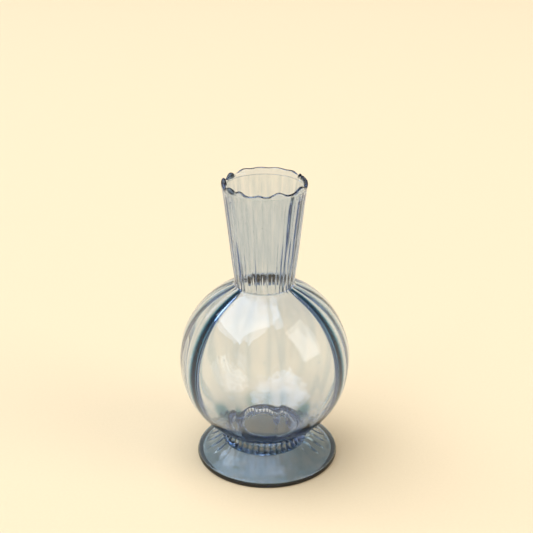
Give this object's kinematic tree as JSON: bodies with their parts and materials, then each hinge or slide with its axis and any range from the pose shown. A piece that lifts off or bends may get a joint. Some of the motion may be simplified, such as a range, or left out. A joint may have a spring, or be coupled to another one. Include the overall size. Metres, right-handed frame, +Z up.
{
  "type": "glass bud vase",
  "caption": "Blown-glass bud vase: a ribbed globe body with a flared, ribbed neck and wavy lip, on a fluted collar and a low disc foot.",
  "frame": {"origin": "on the globe's axis, at the height of the surface that the foot stands on", "axes": "+Z up along the globe's and neck's axis, -Y towards the front, +X to the right"},
  "size_m": [0.0867, 0.0866, 0.15],
  "materials": {
    "thin_glass": "clear, pale grey-blue, fire polished, with faint mould lines",
    "thick_glass": "the same blue glass where it is thick, so deeper in colour, fire polished"
  },
  "bodies": {
    "root": {"foot": "thick_glass", "stem_collar": "thick_glass", "bulb": "thin_glass", "neck": "thin_glass", "lip": "thick_glass"}
  },
  "joints": []
}
